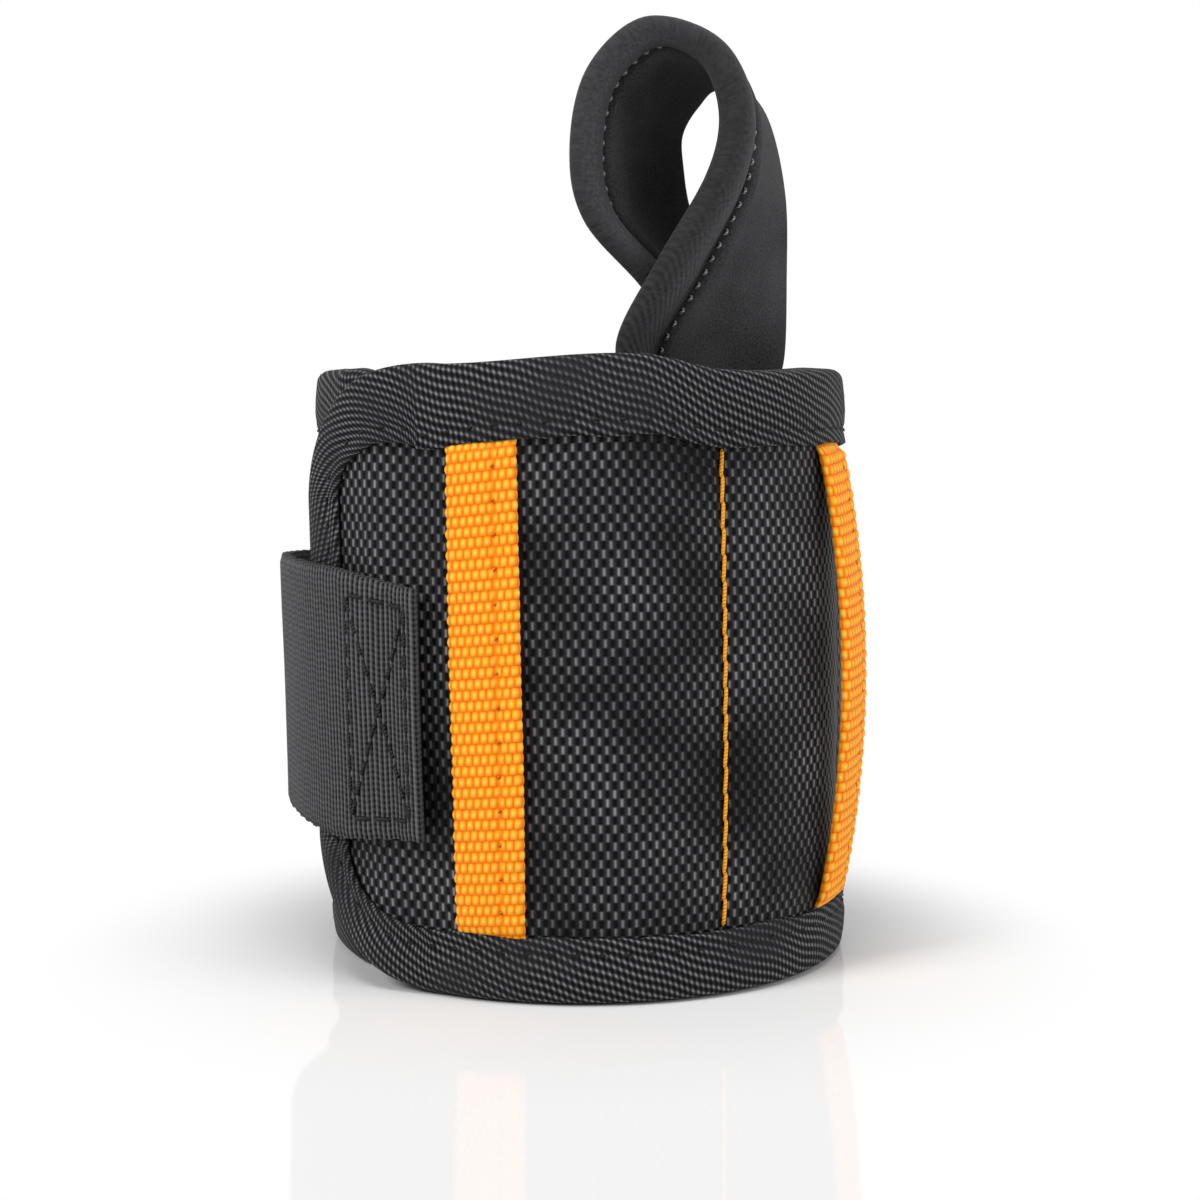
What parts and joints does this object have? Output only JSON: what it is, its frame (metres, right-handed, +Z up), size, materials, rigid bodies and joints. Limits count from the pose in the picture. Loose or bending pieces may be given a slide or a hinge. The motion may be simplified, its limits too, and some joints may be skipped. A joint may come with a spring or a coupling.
{
  "type": "magnetic wristband",
  "caption": "Padded fabric wristband closed to a ring, with disc magnets sealed in its pockets, a hook-and-loop strap and a soft thumb loop.",
  "frame": {"origin": "on the floor, under the middle of the object's box", "axes": "+Z up along the wrist axis, -Y to the viewer of the picture, +X to that viewer's right"},
  "size_m": [0.0904, 0.085, 0.135],
  "materials": {
    "ballistic_nylon": "basket weave, slight sheen",
    "twill_tape": "woven twill, matt",
    "mesh_lining": "knitted mesh, matt",
    "foam_sheet": "closed-cell foam, matt",
    "orange_webbing": "beaded woven webbing",
    "orange_thread": "twisted polyester thread",
    "grey_webbing": "ribbed webbing",
    "hook_tape": "moulded hooks on woven tape",
    "loop_tape": "brushed loop pile",
    "neoprene": "matt jersey-faced neoprene",
    "nickel_plate": "bright nickel plate"
  },
  "bodies": {
    "front_band": {"front_shell": "ballistic_nylon", "front_foam": "foam_sheet", "front_lining": "mesh_lining", "front_top_binding": "twill_tape", "front_bottom_binding": "twill_tape", "left_webbing_strip": "orange_webbing", "right_webbing_strip": "orange_webbing", "front_seam_thread": "orange_thread", "side_seam_thread": "orange_thread", "thumb_loop_anchor": "neoprene", "magnet_1_1": "nickel_plate", "magnet_1_2": "nickel_plate", "magnet_1_3": "nickel_plate", "magnet_2_1": "nickel_plate", "magnet_2_2": "nickel_plate", "magnet_2_3": "nickel_plate", "magnet_3_1": "nickel_plate", "magnet_3_2": "nickel_plate", "magnet_3_3": "nickel_plate"},
    "back_band": {"back_shell": "ballistic_nylon", "back_foam": "foam_sheet", "back_lining": "mesh_lining", "back_top_binding": "twill_tape", "back_bottom_binding": "twill_tape", "inner_end_binding": "twill_tape", "loop_field": "loop_tape", "rear_seam_thread": "orange_thread", "magnet_4_1": "nickel_plate", "magnet_4_2": "nickel_plate", "magnet_4_3": "nickel_plate", "magnet_5_1": "nickel_plate", "magnet_5_2": "nickel_plate", "magnet_5_3": "nickel_plate"},
    "outer_flap": {"flap_shell": "ballistic_nylon", "flap_foam": "foam_sheet", "flap_lining": "mesh_lining", "flap_edge_binding": "twill_tape", "strap_tab": "grey_webbing"},
    "strap": {"closure_strap": "grey_webbing", "hook_pad": "hook_tape"},
    "thumb_loop": {"thumb_loop_panel": "neoprene", "thumb_loop_binding": "twill_tape"}
  },
  "joints": [
    {"name": "flap_fold", "type": "hinge", "parent": "front_band", "child": "outer_flap", "pos_m": [-0.01946, -0.03665, 0.0445], "axis": [0, 0, 1], "range_deg": [0, 45]},
    {"name": "back_fold", "type": "hinge", "parent": "front_band", "child": "back_band", "pos_m": [0.03763, 0.02196, 0.0445], "axis": [0, 0, 1], "range_deg": [-22.5, 0]},
    {"name": "strap_fold", "type": "hinge", "parent": "outer_flap", "child": "strap", "pos_m": [-0.04341, -0.01233, 0.0405], "axis": [0, 0, 1], "range_deg": [0, 110]},
    {"name": "thumb_tilt", "type": "hinge", "parent": "front_band", "child": "thumb_loop", "pos_m": [0.02165, -0.02011, 0.0905], "axis": [0.7071, 0.7071, 0], "range_deg": [-45, 60], "stiffness_Nm_per_rad": 0.05}
  ],
  "couplings": [
    {"joint": "back_fold", "follows": "flap_fold", "ratio": -0.5}
  ]
}
